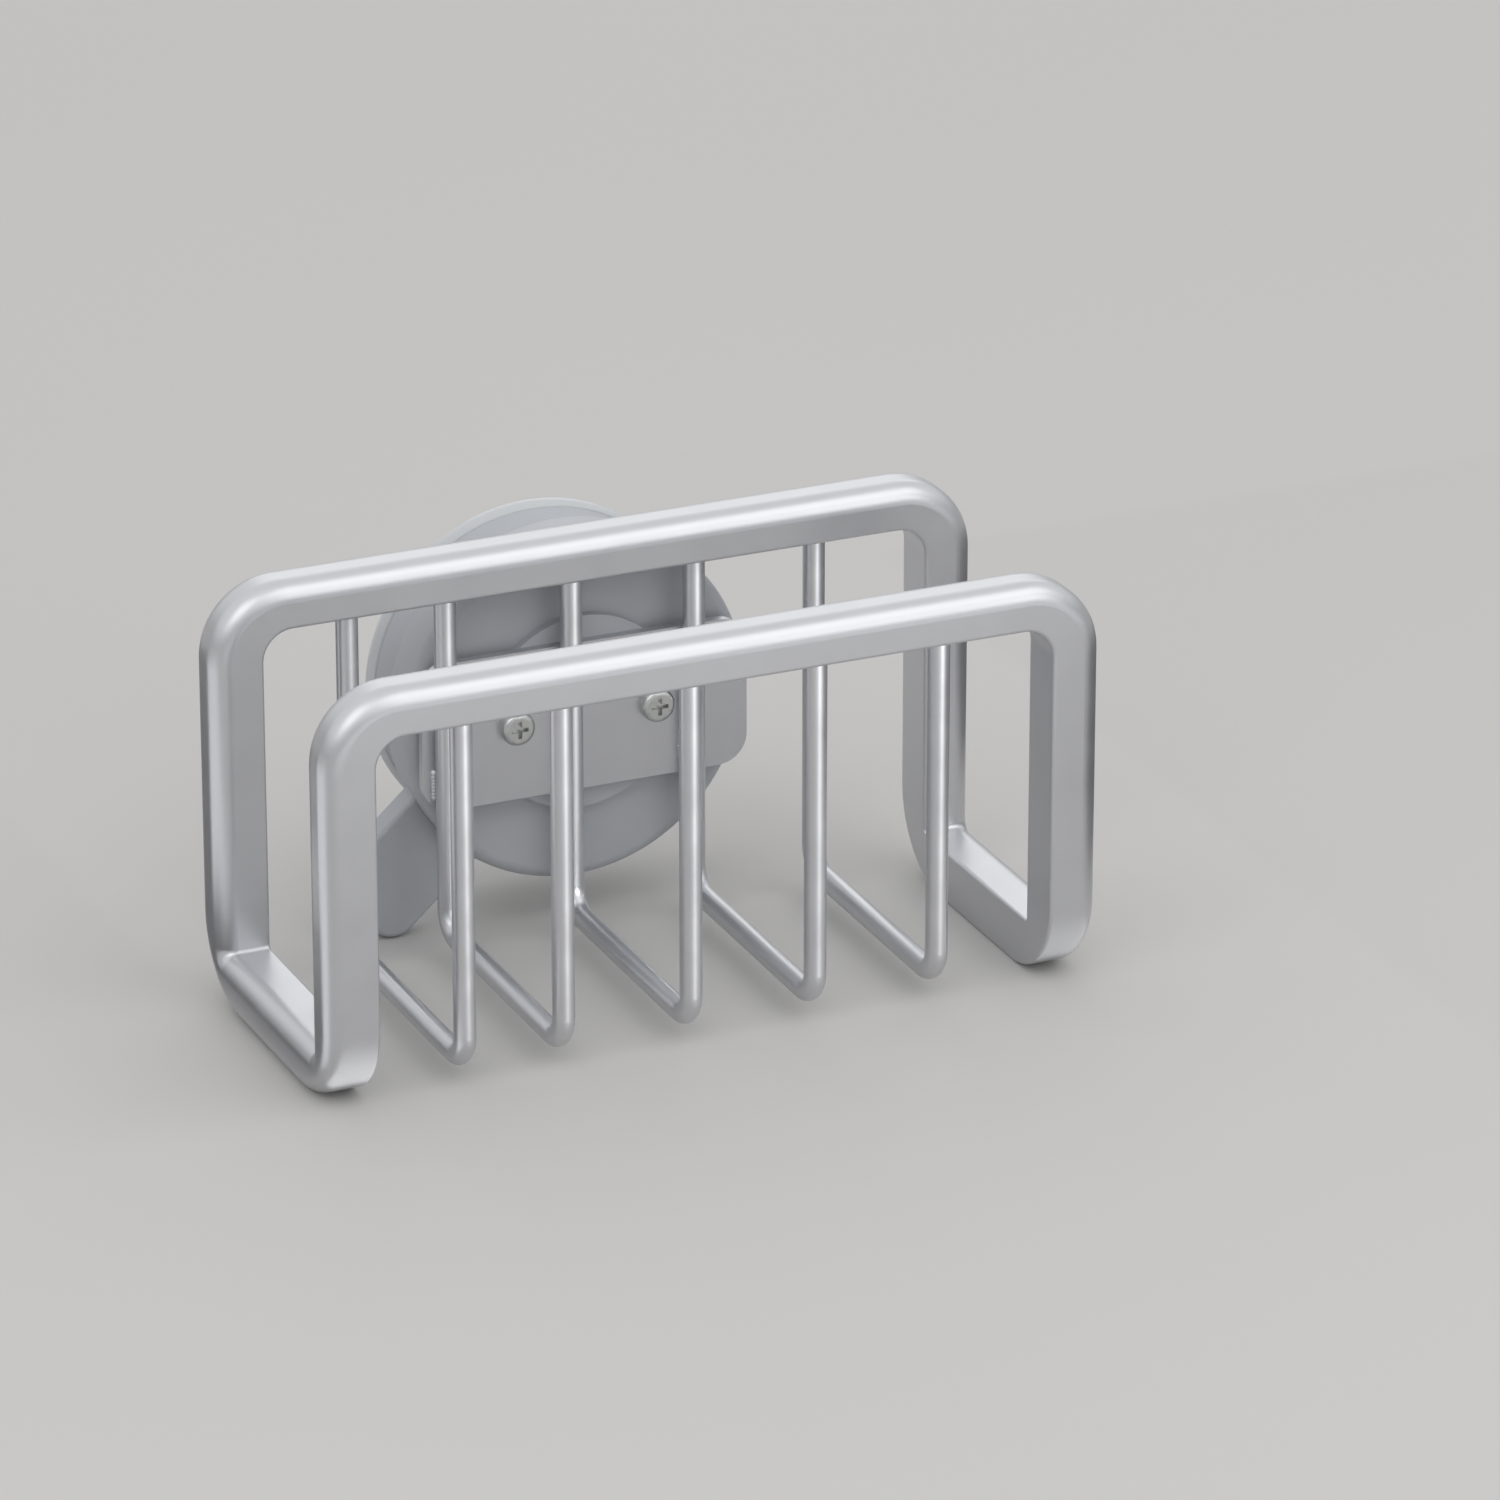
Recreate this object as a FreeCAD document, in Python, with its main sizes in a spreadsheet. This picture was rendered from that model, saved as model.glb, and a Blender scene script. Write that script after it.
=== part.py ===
"""Sponge holder: a bar-and-wire basket on a lever-locked suction mount.

The origin is the centre of the suction lip's face on the wall. +X runs to the right along the
wall, +Y points into the wall and +Z up, so the holder lies on the -Y side. A "depth" is a
distance from the wall towards the user, that is -Y. All sizes are millimetres.
"""
import FreeCAD, Part
import math
import os
import re
import Sketcher

SIZES = {
    # basket frame: a nearly square bar, rounded on its outer side
    "frame_width": 135.0,
    "frame_height": 72.15,
    "mount_below_top": 34.05,
    "arch_spacing": 49.0,
    "bar_width": 8.85,
    "rail_height": 7.8,
    "bar_thickness": 9.2,
    "bar_outer_round": 3.3,
    "bar_inner_round": 0.6,
    "corner_inner_radius": 5.2,
    "corner_outer_radius": 13.0,
    "bend_inner_radius": 0.7,
    "bend_outer_radius": 15.2,
    "bend_tail": 2.0,
    # basket wires
    "wire_diameter": 3.7,
    "wire_bend_radius": 4.5,
    "wire_lift": 2.6,
    "wire_1_place": -42.6,
    "wire_2_place": -25.5,
    "wire_3_place": -3.25,
    "wire_4_place": 18.65,
    "wire_5_place": 40.3,
    # suction pad
    "pad_radius": 29.5,
    "pad_lip_width": 9.0,
    "pad_lip_edge": 0.9,
    "pad_rim_depth": 2.5,
    "pad_rim_width": 4.6,
    "pad_cavity_depth": 4.6,
    "pad_cavity_flat_radius": 8.0,
    "pad_web": 2.4,
    "pad_hub_radius": 10.0,
    "pad_hub_depth": 9.2,
    # pull stud, moulded into the pad by its head
    "stud_head_radius": 8.0,
    "stud_head_depth": 5.8,
    "stud_head_thickness": 1.6,
    "stud_neck_width": 6.2,
    "stud_radius": 3.0,
    "stud_travel": 2.0,
    "stud_clip_step": 0.6,
    # pressure bell
    "bell_rim_radius": 28.6,
    "bell_front_radius": 25.0,
    "bell_wall": 2.0,
    "bell_front_depth": 11.6,
    "bell_floor": 2.0,
    # slip washer and lock lever
    "washer_thickness": 0.4,
    "washer_inner_radius": 8.4,
    "lever_disc_gap": 1.2,
    "lever_disc_thickness": 2.2,
    "lever_hub_radius": 7.4,
    "lever_hub_height": 6.2,
    "lever_hub_gap": 0.45,
    "lever_rest_angle": 222.0,
    "lever_swing": 90.0,
    "lever_reach": 50.0,
    "lever_width": 17.0,
    "lever_thickness": 4.4,
    "lever_corner_radius": 4.5,
    "lever_edge_round": 0.8,
    "lever_window_margin": 2.0,
    # lock nut and stud clip
    "nut_radius": 5.2,
    "nut_length": 3.6,
    "clip_radius": 5.0,
    "clip_thickness": 0.8,
    "clip_groove": 0.6,
    # cap over the lock
    "cap_wall": 2.4,
    "cap_front_wall": 2.6,
    "cap_lip": 1.4,
    "cap_lip_reach": 2.7,
    "cap_edge_round": 2.2,
    "cap_back_round": 0.6,
    "cap_step_radius": 17.0,
    "cap_boss_radius": 3.0,
    "cap_boss_gap": 1.0,
    "cap_screw_turn": 60.0,
    # plate on the rear wires, and its screws
    "plate_width": 58.0,
    "plate_height": 26.0,
    "plate_thickness": 1.6,
    "plate_corner_radius": 5.0,
    "plate_screw_place": 12.5,
    # both kinds of screw
    "screw_radius": 1.5,
    "screw_head_radius": 2.9,
    "screw_head_height": 2.0,
    "screw_head_round": 0.9,
    "screw_grip": 5.0,
    "screw_cross_reach": 1.5,
    "screw_cross_width": 0.7,
    "screw_cross_depth": 1.1,
    # clearances
    "running_clearance": 0.05,
    "screw_clearance": 0.2,
    "sliding_gap": 0.4,
    "stop_gap": 0.3,
}

doc = FreeCAD.newDocument("sponge_holder")
sheet = doc.addObject("Spreadsheet::Sheet", "Sizes")
for row, (alias, number) in enumerate(SIZES.items(), start=1):
    sheet.set(f"A{row}", alias)
    sheet.set(f"B{row}", str(number))
    sheet.setAlias(f"B{row}", alias)
doc.recompute()

TOLERANCE = 1e-4   # lengths closer than this count as equal
ROUND_SHARE = 0.48   # the most of a wall that each of the roundings on its two edges may take

# places worked out from the driving sizes, as expressions
HALF_WIDTH = "(frame_width / 2)"
TOP = "mount_below_top"
BOTTOM = "(mount_below_top - frame_height)"
JOINT = f"({BOTTOM} + bend_outer_radius + bend_tail)"
RAIL_UNDER = f"({TOP} - rail_height)"
BEND_WALL = "(sqrt(2) * bar_thickness - (sqrt(2) - 1) * (bend_outer_radius - bend_inner_radius))"
BAR_ROUND = f"min(bar_outer_round; {ROUND_SHARE} * {BEND_WALL})"   # the bend is the bar's thinnest place
DISC_BACK = "(bell_front_depth + washer_thickness)"
HUB_FRONT = f"({DISC_BACK} + lever_hub_height)"
DISC_FRONT = f"({DISC_BACK} + lever_disc_thickness)"
SCREW_RING = "(bell_front_radius - bell_wall - cap_boss_gap - cap_boss_radius)"
DISC_RADIUS = f"({SCREW_RING} - cap_boss_radius - lever_disc_gap)"
CAP_BACK = DISC_BACK
CAP_LIP_INNER = "(bell_front_radius + sliding_gap)"
CAP_SKIRT = f"({CAP_LIP_INNER} + cap_lip_reach)"
CAP_RADIUS = f"({CAP_SKIRT} + cap_wall)"
CAP_INNER_FRONT = f"({HUB_FRONT} + lever_hub_gap)"
CAP_FRONT = f"({CAP_INNER_FRONT} + cap_front_wall)"
REAR_ARCH = f"({CAP_FRONT} + sliding_gap + bar_thickness / 2)"
FRONT_ARCH = f"({REAR_ARCH} + arch_spacing)"
WIRE_BACK = f"({REAR_ARCH} - wire_diameter / 2)"
PLATE_BACK = f"({WIRE_BACK} - plate_thickness)"
PLATE_BOSS_BACK = f"({DISC_FRONT} + sliding_gap)"
NUT_BACK = f"({HUB_FRONT} - nut_length)"
CLIP_BACK = f"({HUB_FRONT} + stud_travel + stop_gap)"
CLIP_FRONT = f"({CLIP_BACK} + clip_thickness)"
CLIP_BORE = "(stud_radius - clip_groove)"
STUD_END = f"({CLIP_FRONT} + stud_clip_step)"
NECK_END = "(bell_front_depth + stud_travel + stop_gap)"
NECK_CORNER = "(stud_neck_width * 0.7072)"   # half the square neck's diagonal, rounded up
BELL_FLOOR_BACK = "(bell_front_depth - bell_floor)"
CAP_SCREW_TIP = "(bell_front_depth + screw_grip)"


def bound(text):
    """The expression with every size named by its cell in the sheet."""
    return re.sub(r"[a-z]\w*", lambda word: "Sizes." + word[0] if word[0] in SIZES else word[0], text)


def value(text):
    """The number that an expression gives now."""
    return float(sheet.evalExpression(bound(text)))


def tie(target, **properties):
    """Bind properties of a feature to expressions."""
    for name, text in properties.items():
        target.setExpression(name.replace("__", "."), bound(text))


def new_body(label):
    """An empty body that becomes one piece of the holder."""
    body = doc.addObject("PartDesign::Body", label)
    body.Label = label
    return body


def new_sketch(body, plane, depth="0"):
    """A sketch on one of the body's own planes, raised along the plane's normal by depth."""
    sketch = body.newObject("Sketcher::SketchObject", f"{body.Label}_sketch")
    role = f"{plane}_Plane"
    sketch.AttachmentSupport = [(next(f for f in body.Origin.OriginFeatures if f.Role == role), "")]
    sketch.MapMode = "FlatFace"
    if depth != "0":
        tie(sketch, AttachmentOffset__Base__z=depth)
    return sketch


def pin_point(sketch, geometry, end, across, along):
    """Hold a point of a sketch at two expressions, measured from the sketch's origin."""
    for kind, axis, text in (("DistanceX", -2, across), ("DistanceY", -1, along)):
        if text == "0":
            sketch.addConstraint(Sketcher.Constraint("PointOnObject", geometry, end, axis))
        else:
            held = sketch.addConstraint(Sketcher.Constraint(kind, -1, 1, geometry, end, value(text)))
            sketch.setExpression(f"Constraints[{held}]", bound(text))


def draw_outline(sketch, corners):
    """A closed outline of straight edges through corners given as pairs of expressions."""
    first = sketch.GeometryCount
    places = [FreeCAD.Vector(value(across), value(along), 0) for across, along in corners]
    count = len(places)
    for i, place in enumerate(places):
        sketch.addGeometry(Part.LineSegment(place, places[(i + 1) % count]), False)
    for i, (across, along) in enumerate(corners):
        following = first + (i + 1) % count
        sketch.addConstraint(Sketcher.Constraint("Coincident", first + i, 2, following, 1))
        pin_point(sketch, first + i, 1, across, along)


def draw_circle(sketch, radius, across="0", along="0"):
    """A circle of a sketch, its centre and radius given as expressions."""
    centre = FreeCAD.Vector(value(across), value(along), 0)
    circle = sketch.addGeometry(Part.Circle(centre, FreeCAD.Vector(0, 0, 1), value(radius)), False)
    pin_point(sketch, circle, 3, across, along)
    held = sketch.addConstraint(Sketcher.Constraint("Radius", circle, value(radius)))
    sketch.setExpression(f"Constraints[{held}]", bound(radius))


def draw_circles(sketch, radius, places):
    """Equal circles of a sketch at several places."""
    for across, along in places:
        draw_circle(sketch, radius, across, along)


def rectangle(half_across, half_along):
    """Corners of a rectangle centred on the sketch's origin."""
    return [
        (f"-{half_across}", f"-{half_along}"), (half_across, f"-{half_along}"),
        (half_across, half_along), (f"-{half_across}", half_along),
    ]


def pad(body, sketch, length, symmetric=False):
    """Raise a sketch by a length."""
    feature = body.newObject("PartDesign::Pad", f"{body.Label}_pad")
    feature.Profile = sketch
    tie(feature, Length=length)
    if symmetric:
        feature.SideType = "Symmetric"
    doc.recompute()
    return feature


def pocket(body, sketch, length, outward=False):
    """Cut a sketch into the body, back along its normal, or along it where outward is set."""
    before = body.Shape.Volume
    feature = body.newObject("PartDesign::Pocket", f"{body.Label}_pocket")
    feature.Profile = sketch
    feature.Reversed = outward
    tie(feature, Length=length)
    doc.recompute()
    if body.Shape.Volume >= before:
        raise RuntimeError(f"{feature.Name} cuts nothing")
    return feature


def revolve(body, corners):
    """A turned shape about the mount's axis, its outline given as pairs of radius and depth."""
    sketch = new_sketch(body, "XY")
    draw_outline(sketch, [(radius, "0" if depth == "0" else f"-({depth})") for radius, depth in corners])
    feature = body.newObject("PartDesign::Revolution", f"{body.Label}_turned")
    feature.Profile = sketch
    feature.ReferenceAxis = (sketch, ["V_Axis"])
    doc.recompute()
    return feature


def fillet(body, radius, wanted):
    """Round the edges of the body's last feature for which wanted(edge) holds."""
    base = body.Tip
    names = [f"Edge{i}" for i, edge in enumerate(base.Shape.Edges, start=1) if wanted(edge)]
    feature = body.newObject("PartDesign::Fillet", f"{body.Label}_round")
    feature.Base = (base, names)
    tie(feature, Radius=radius)
    doc.recompute()
    return feature


def near(a, b):
    """True where two lengths are equal but for rounding."""
    return abs(a - b) < TOLERANCE


def lies_at(edge, axis, text):
    """True where a whole edge has one coordinate, X, Y or Z, at an expression's value."""
    low = getattr(edge.BoundBox, f"{axis}Min")
    high = getattr(edge.BoundBox, f"{axis}Max")
    place = value(text)
    return near(low, place) and near(high, place)


def runs_along(edge, axis):
    """True where a straight edge is parallel to an axis."""
    if not isinstance(edge.Curve, Part.Line):
        return False
    return near(abs(getattr(edge.Curve.Direction, axis.lower())), 1)


def ring_edge(edge, radius, depth):
    """True for a full or part circle about the mount's axis at a radius and depth."""
    if not isinstance(edge.Curve, Part.Circle):
        return False
    centre = edge.Curve.Center
    on_axis = near(centre.x, 0) and near(centre.z, 0)
    return on_axis and near(centre.y, -value(depth)) and near(edge.Curve.Radius, value(radius))


def middle(edge):
    """The point half way along an edge."""
    return edge.valueAt((edge.FirstParameter + edge.LastParameter) / 2)


def arch(label, depth):
    """The bar bent to an upside-down U: a rail and two legs that end at the base bars."""
    body = new_body(label)
    inner = f"({HALF_WIDTH} - bar_width)"
    outline = [
        (f"-{HALF_WIDTH}", JOINT), (f"-{HALF_WIDTH}", TOP), (HALF_WIDTH, TOP), (HALF_WIDTH, JOINT),
        (inner, JOINT), (inner, RAIL_UNDER), (f"-{inner}", RAIL_UNDER), (f"-{inner}", JOINT),
    ]
    sketch = new_sketch(body, "XZ")
    draw_outline(sketch, outline)
    pad(body, sketch, "bar_thickness", symmetric=True)
    fillet(body, "corner_outer_radius", lambda e: runs_along(e, "Y") and lies_at(e, "Z", TOP))
    fillet(body, "corner_inner_radius", lambda e: runs_along(e, "Y") and lies_at(e, "Z", RAIL_UNDER))
    window_half = value(inner) + TOLERANCE
    window_top = value(RAIL_UNDER) + TOLERANCE

    def on_face(edge):
        sides = lies_at(edge, "Y", "bar_thickness / 2") or lies_at(edge, "Y", "-bar_thickness / 2")
        return sides and not lies_at(edge, "Z", JOINT)

    def on_window(edge):
        place = middle(edge)
        return abs(place.x) < window_half and place.z < window_top

    fillet(body, BAR_ROUND, lambda e: on_face(e) and not on_window(e))
    fillet(body, "bar_inner_round", lambda e: on_face(e) and on_window(e))
    tie(body, Placement__Base__y=f"-({depth})")
    return body


def base_bar(label, side):
    """The bar under one side of the basket, turned up at both ends to meet the arches' legs."""
    body = new_body(label)
    front = f"-({FRONT_ARCH} + bar_thickness / 2)"
    rear = f"-({REAR_ARCH} - bar_thickness / 2)"
    front_inner = f"-({FRONT_ARCH} - bar_thickness / 2)"
    rear_inner = f"-({REAR_ARCH} + bar_thickness / 2)"
    floor = f"({BOTTOM} + bar_thickness)"
    outline = [
        (front, JOINT), (front, BOTTOM), (rear, BOTTOM), (rear, JOINT),
        (rear_inner, JOINT), (rear_inner, floor), (front_inner, floor), (front_inner, JOINT),
    ]
    sketch = new_sketch(body, "YZ")
    draw_outline(sketch, outline)
    pad(body, sketch, "bar_width", symmetric=True)
    fillet(body, "bend_outer_radius", lambda e: runs_along(e, "X") and lies_at(e, "Z", BOTTOM))
    fillet(body, "bend_inner_radius", lambda e: runs_along(e, "X") and lies_at(e, "Z", floor))
    outside = "bar_width / 2" if side > 0 else "-bar_width / 2"
    inside = "-bar_width / 2" if side > 0 else "bar_width / 2"
    for radius, face in ((BAR_ROUND, outside), ("bar_inner_round", inside)):
        fillet(body, radius, lambda e: lies_at(e, "X", face) and not lies_at(e, "Z", JOINT))
    tie(body, Placement__Base__x=f"{'' if side > 0 else '-'}({HALF_WIDTH} - bar_width / 2)")
    return body


def wire(label, place):
    """A round wire bent to a U, from under the front rail to under the rear rail."""
    body = new_body(label)
    front = f"-{FRONT_ARCH}"
    rear = f"-{REAR_ARCH}"
    low = f"({BOTTOM} + wire_lift + wire_diameter / 2)"
    bend_top = f"({low} + wire_bend_radius)"
    front_bend = f"({front} + wire_bend_radius)"
    rear_bend = f"({rear} - wire_bend_radius)"
    path = new_sketch(body, "YZ")
    stops = [
        (front, RAIL_UNDER), (front, bend_top), (front_bend, low),
        (rear_bend, low), (rear, bend_top), (rear, RAIL_UNDER),
    ]
    places = [FreeCAD.Vector(value(across), value(along), 0) for across, along in stops]
    radius = value("wire_bend_radius")
    front_centre = FreeCAD.Vector(places[2].x, places[1].y, 0)
    rear_centre = FreeCAD.Vector(places[3].x, places[4].y, 0)
    normal = FreeCAD.Vector(0, 0, 1)
    path.addGeometry([
        Part.LineSegment(places[0], places[1]),
        Part.ArcOfCircle(Part.Circle(front_centre, normal, radius), math.pi, 1.5 * math.pi),
        Part.LineSegment(places[2], places[3]),
        Part.ArcOfCircle(Part.Circle(rear_centre, normal, radius), 1.5 * math.pi, 2 * math.pi),
        Part.LineSegment(places[4], places[5]),
    ], False)
    for i in range(4):
        path.addConstraint(Sketcher.Constraint("Tangent", i, 2, i + 1, 1))
    pin_point(path, 0, 1, *stops[0])
    pin_point(path, 4, 2, *stops[5])
    path.addConstraint(Sketcher.Constraint("Vertical", 0))
    path.addConstraint(Sketcher.Constraint("Vertical", 4))
    floor_line = path.addConstraint(Sketcher.Constraint("DistanceY", -1, 1, 2, 1, value(low)))
    path.setExpression(f"Constraints[{floor_line}]", bound(low))
    for bend in (1, 3):
        held = path.addConstraint(Sketcher.Constraint("Radius", bend, radius))
        path.setExpression(f"Constraints[{held}]", bound("wire_bend_radius"))
    path.addConstraint(Sketcher.Constraint("Horizontal", 2))
    profile = new_sketch(body, "XY", RAIL_UNDER)
    draw_circle(profile, "wire_diameter / 2", "0", front)
    doc.recompute()
    pipe = body.newObject("PartDesign::AdditivePipe", f"{label}_pipe")
    pipe.Profile = profile
    pipe.Spine = path
    doc.recompute()
    tie(body, Placement__Base__x=place)
    return body


def suction_pad():
    """Soft cup: a flat lip on the wall, a shallow hollow, and a hub moulded round the stud's head."""
    body = new_body("suction_pad")
    lip_inner = "(pad_radius - pad_lip_width)"
    rim_inner = "(pad_radius - pad_rim_width)"
    web_back = "(pad_cavity_depth + pad_web)"
    head_back = "(stud_head_depth - running_clearance)"
    head_front = "(stud_head_depth + stud_head_thickness + running_clearance)"
    head = "(stud_head_radius + running_clearance)"
    neck = f"({NECK_CORNER} + running_clearance)"
    revolve(body, [
        ("0", "pad_cavity_depth"), ("pad_cavity_flat_radius", "pad_cavity_depth"), (lip_inner, "0"),
        ("pad_radius", "0"), ("pad_radius", "pad_lip_edge"),
        ("(bell_rim_radius + sliding_gap / 2)", "pad_rim_depth"), (rim_inner, "pad_rim_depth"),
        ("pad_hub_radius", web_back), ("pad_hub_radius", "pad_hub_depth"),
        (neck, "pad_hub_depth"), (neck, head_front), (head, head_front),
        (head, head_back), ("0", head_back),
    ])
    return body


def pull_stud():
    """Stud with a flat head in the pad, a square neck that cannot turn in the bell, and a thread."""
    body = new_body("pull_stud")
    head_front = "(stud_head_depth + stud_head_thickness)"
    revolve(body, [
        ("0", "stud_head_depth"), ("stud_head_radius", "stud_head_depth"), ("stud_head_radius", head_front),
        ("stud_radius", head_front), ("stud_radius", CLIP_BACK), (CLIP_BORE, CLIP_BACK),
        (CLIP_BORE, CLIP_FRONT), ("stud_radius", CLIP_FRONT), ("stud_radius", STUD_END), ("0", STUD_END),
    ])
    half = "(stud_neck_width / 2)"
    neck = new_sketch(body, "XZ", head_front)
    draw_outline(neck, rectangle(half, half))
    pad(body, neck, f"{NECK_END} - {head_front}")
    return body


def screw_holes(body, radius, places, back, front):
    """Round holes along the mount's axis, from a back depth to a front depth."""
    sketch = new_sketch(body, "XZ", front)
    draw_circles(sketch, radius, places)
    return pocket(body, sketch, f"{front} - {back}")


def ring_places():
    """Places of the three cap screws on the upper half of their circle."""
    angles = ("90 - cap_screw_turn", "90", "90 + cap_screw_turn")
    places = [(f"{SCREW_RING} * cos({angle})", f"{SCREW_RING} * sin({angle})") for angle in angles]
    places[1] = ("0", SCREW_RING)
    return places


def plate_places():
    """Places of the two plate screws, level with the mount's axis."""
    return [("-plate_screw_place", "0"), ("plate_screw_place", "0")]


def pressure_bell():
    """Rigid flared housing: its rim presses on the pad, its floor guides the stud's square neck."""
    body = new_body("pressure_bell")
    revolve(body, [
        ("0", BELL_FLOOR_BACK), ("(bell_front_radius - bell_wall)", BELL_FLOOR_BACK),
        ("(bell_rim_radius - bell_wall)", "pad_rim_depth"), ("bell_rim_radius", "pad_rim_depth"),
        ("bell_front_radius", "bell_front_depth"), ("0", "bell_front_depth"),
    ])
    fillet(body, "cap_back_round", lambda e: ring_edge(e, "bell_front_radius", "bell_front_depth"))
    half = "(stud_neck_width / 2 + running_clearance)"
    keyway = new_sketch(body, "XZ", "bell_front_depth")
    draw_outline(keyway, rectangle(half, half))
    pocket(body, keyway, "bell_floor")
    hole = "screw_radius + screw_clearance"
    screw_holes(body, hole, ring_places(), BELL_FLOOR_BACK, "bell_front_depth")
    return body


def slip_washer():
    """Thin flat ring on which the lever's disc turns."""
    body = new_body("slip_washer")
    outer = f"({DISC_RADIUS} - sliding_gap)"
    revolve(body, [
        ("washer_inner_radius", "bell_front_depth"), (outer, "bell_front_depth"),
        (outer, DISC_BACK), ("washer_inner_radius", DISC_BACK),
    ])
    return body


def lock_lever():
    """Disc with a hub for the nut, and a flat lever that leaves the cap low at the left."""
    body = new_body("lock_lever")
    neck_room = f"({NECK_CORNER} + sliding_gap)"
    revolve(body, [
        (neck_room, DISC_BACK), (DISC_RADIUS, DISC_BACK), (DISC_RADIUS, DISC_FRONT),
        ("lever_hub_radius", DISC_FRONT), ("lever_hub_radius", HUB_FRONT), ("nut_radius", HUB_FRONT),
        ("nut_radius", NUT_BACK), (neck_room, NUT_BACK),
    ])
    half = "(lever_width / 2)"
    outside_bosses = "(plate_screw_place + cap_boss_radius + sliding_gap)"
    layers = (("lever_hub_radius", "lever_disc_thickness"), (outside_bosses, "lever_thickness"))
    for start, thickness in layers:
        arm = new_sketch(body, "XZ", DISC_BACK)
        arm.AttachmentOffset.Rotation.Axis = FreeCAD.Vector(0, 0, 1)
        tie(arm, AttachmentOffset__Rotation__Angle="lever_rest_angle")
        draw_outline(arm, [
            (start, f"-{half}"), ("lever_reach", f"-{half}"), ("lever_reach", half), (start, half),
        ])
        pad(body, arm, thickness)

    def from_axis(edge):
        place = middle(edge)
        return math.hypot(place.x, place.z)

    def at_tip(edge):
        return runs_along(edge, "Y") and from_axis(edge) > value("lever_reach")

    def on_front(edge):
        inner_end = near(from_axis(edge), value(outside_bosses))
        return lies_at(edge, "Y", f"-({DISC_BACK} + lever_thickness)") and not inner_end

    fillet(body, "lever_corner_radius", at_tip)
    fillet(body, "lever_edge_round", on_front)
    return body


def lock_nut():
    """Threaded brass insert in the lever's hub."""
    body = new_body("lock_nut")
    bore = "(stud_radius + running_clearance)"
    revolve(body, [
        (bore, NUT_BACK), ("nut_radius", NUT_BACK), ("nut_radius", HUB_FRONT), (bore, HUB_FRONT),
    ])
    return body


def stud_clip():
    """Retaining ring in the stud's groove, the stop for the released lever."""
    body = new_body("stud_clip")
    revolve(body, [
        (CLIP_BORE, CLIP_BACK), ("clip_radius", CLIP_BACK),
        ("clip_radius", CLIP_FRONT), (CLIP_BORE, CLIP_FRONT),
    ])
    return body


def mount_cap():
    """Round cap over the lock, open at its lower back edge where the lever swings."""
    body = new_body("mount_cap")
    lip_front = f"({CAP_BACK} + cap_lip)"
    well = "(clip_radius + sliding_gap)"
    revolve(body, [
        (well, CAP_INNER_FRONT), (CAP_SKIRT, CAP_INNER_FRONT), (CAP_SKIRT, lip_front),
        (CAP_LIP_INNER, lip_front), (CAP_LIP_INNER, CAP_BACK), (CAP_RADIUS, CAP_BACK),
        (CAP_RADIUS, CAP_FRONT), ("cap_step_radius", CAP_FRONT),
        ("cap_step_radius", PLATE_BACK), (well, PLATE_BACK),
    ])
    fillet(body, "cap_edge_round", lambda e: ring_edge(e, CAP_RADIUS, CAP_FRONT))
    fillet(body, "cap_back_round", lambda e: ring_edge(e, CAP_RADIUS, CAP_BACK))
    ring_bosses = new_sketch(body, "XZ", "bell_front_depth")
    draw_circles(ring_bosses, "cap_boss_radius", ring_places())
    pad(body, ring_bosses, f"{CAP_INNER_FRONT} - bell_front_depth")
    plate_bosses = new_sketch(body, "XZ", PLATE_BOSS_BACK)
    draw_circles(plate_bosses, "cap_boss_radius", plate_places())
    pad(body, plate_bosses, f"{CAP_INNER_FRONT} - {PLATE_BOSS_BACK}")
    hole = "screw_radius + running_clearance"
    screw_holes(body, hole, ring_places(), "bell_front_depth", CAP_SCREW_TIP)
    screw_holes(body, hole, plate_places(), PLATE_BOSS_BACK, PLATE_BACK)
    half_lever = f"asin((lever_width / 2 + sliding_gap) / {CAP_SKIRT}) / (1 deg)"
    sweep_edge = f"({half_lever} + lever_window_margin)"
    first = f"(lever_rest_angle - {sweep_edge})"
    last = f"(lever_rest_angle + lever_swing + {sweep_edge})"
    far = f"(({CAP_RADIUS} + cap_wall) / cos(lever_swing / 2 + {sweep_edge}))"
    window = new_sketch(body, "XZ", CAP_BACK)
    draw_outline(window, [
        ("0", "0"), (f"{far} * cos({first})", f"{far} * sin({first})"),
        (f"{far} * cos({last})", f"{far} * sin({last})"),
    ])
    pocket(body, window, "lever_thickness + sliding_gap", outward=True)
    return body


def mount_plate():
    """Flat steel plate on the backs of the rear wires, with two screw holes."""
    body = new_body("mount_plate")
    sheet_outline = new_sketch(body, "XZ", PLATE_BACK)
    draw_outline(sheet_outline, rectangle("(plate_width / 2)", "(plate_height / 2)"))
    pad(body, sheet_outline, "plate_thickness")
    fillet(body, "plate_corner_radius", lambda e: runs_along(e, "Y"))
    screw_holes(body, "screw_radius + screw_clearance", plate_places(), PLATE_BACK, WIRE_BACK)
    return body


def cross(place):
    """Corners of a cross recess in a screw's head."""
    arm = "screw_cross_reach"
    half = "screw_cross_width / 2"
    steps = [
        (arm, f"-{half}"), (arm, half), (half, half), (half, arm), (f"-{half}", arm), (f"-{half}", half),
        (f"-{arm}", half), (f"-{arm}", f"-{half}"), (f"-{half}", f"-{half}"), (f"-{half}", f"-{arm}"),
        (half, f"-{arm}"), (half, f"-{half}"),
    ]
    return [(f"{place[0]} + ({across})", f"{place[1]} + ({along})") for across, along in steps]


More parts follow.
